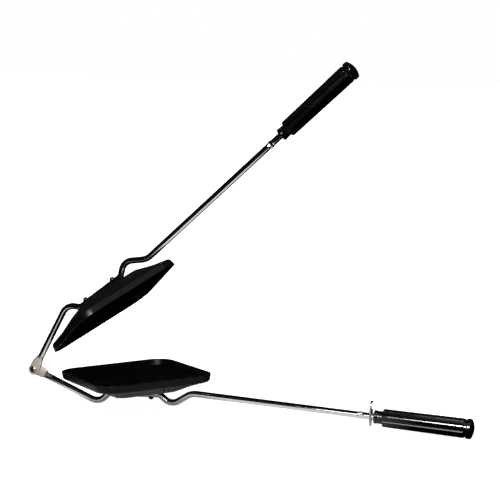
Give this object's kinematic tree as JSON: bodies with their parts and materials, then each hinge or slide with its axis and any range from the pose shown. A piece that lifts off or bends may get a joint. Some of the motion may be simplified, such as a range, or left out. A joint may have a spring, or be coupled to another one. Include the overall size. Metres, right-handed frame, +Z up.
{
  "type": "stovetop sandwich toaster",
  "caption": "Hinged stovetop sandwich toaster: square black pans set corner-on, riveted to bent chrome rods with fluted black grips and a swinging lock clip.",
  "frame": {"origin": "on the surface that the toaster lies on, below the middle of its bounding box", "axes": "+X from the hinge towards the handles, +Z up, the hinge axis along Y; the lower half lies on the hinge-side hump of its rod and on its end cap, and the upper half stands 35.2 degrees open"},
  "size_m": [0.4272, 0.1468, 0.3266],
  "materials": {
    "pan_coating": "black non-stick coating on pressed steel, satin, worn bright on the edges",
    "rod_chrome": "bright chrome plating on round steel rod",
    "hinge_steel": "plated steel rivet with a hammered dome",
    "rivet_steel": "plain steel rivet, dulled by heat",
    "washer_steel": "zinc-plated stamped washer",
    "nut_brass": "plain turned brass nut",
    "grip_plastic": "moulded black phenolic plastic, polished flutes",
    "clip_steel": "bright plated stamped sheet"
  },
  "bodies": {
    "lower_half": {"lower_pan": "pan_coating", "lower_rod": "rod_chrome", "hinge_rivet": "hinge_steel", "hinge_washer": "washer_steel", "lower_hinge_side_rivet": "rivet_steel", "lower_handle_side_rivet": "rivet_steel", "lower_grip": "grip_plastic", "lower_end_cap": "grip_plastic", "lower_grip_nut": "nut_brass", "lower_grip_washer": "washer_steel"},
    "upper_half": {"upper_pan": "pan_coating", "upper_rod": "rod_chrome", "upper_hinge_side_rivet": "rivet_steel", "upper_handle_side_rivet": "rivet_steel", "upper_grip": "grip_plastic", "upper_end_cap": "grip_plastic", "upper_grip_nut": "nut_brass", "upper_grip_washer": "washer_steel"},
    "clip": {"lock_clip": "clip_steel"}
  },
  "joints": [
    {"name": "hinge", "type": "hinge", "parent": "lower_half", "child": "upper_half", "pos_m": [-0.20834, 0, 0.02729], "axis": [0, -1, 0], "range_deg": [-35.2, 144.8]},
    {"name": "clip_swing", "type": "hinge", "parent": "lower_half", "child": "clip", "pos_m": [0.12044, 0, 0.01194], "axis": [0.9994, 0, -0.0334], "continuous": true}
  ]
}
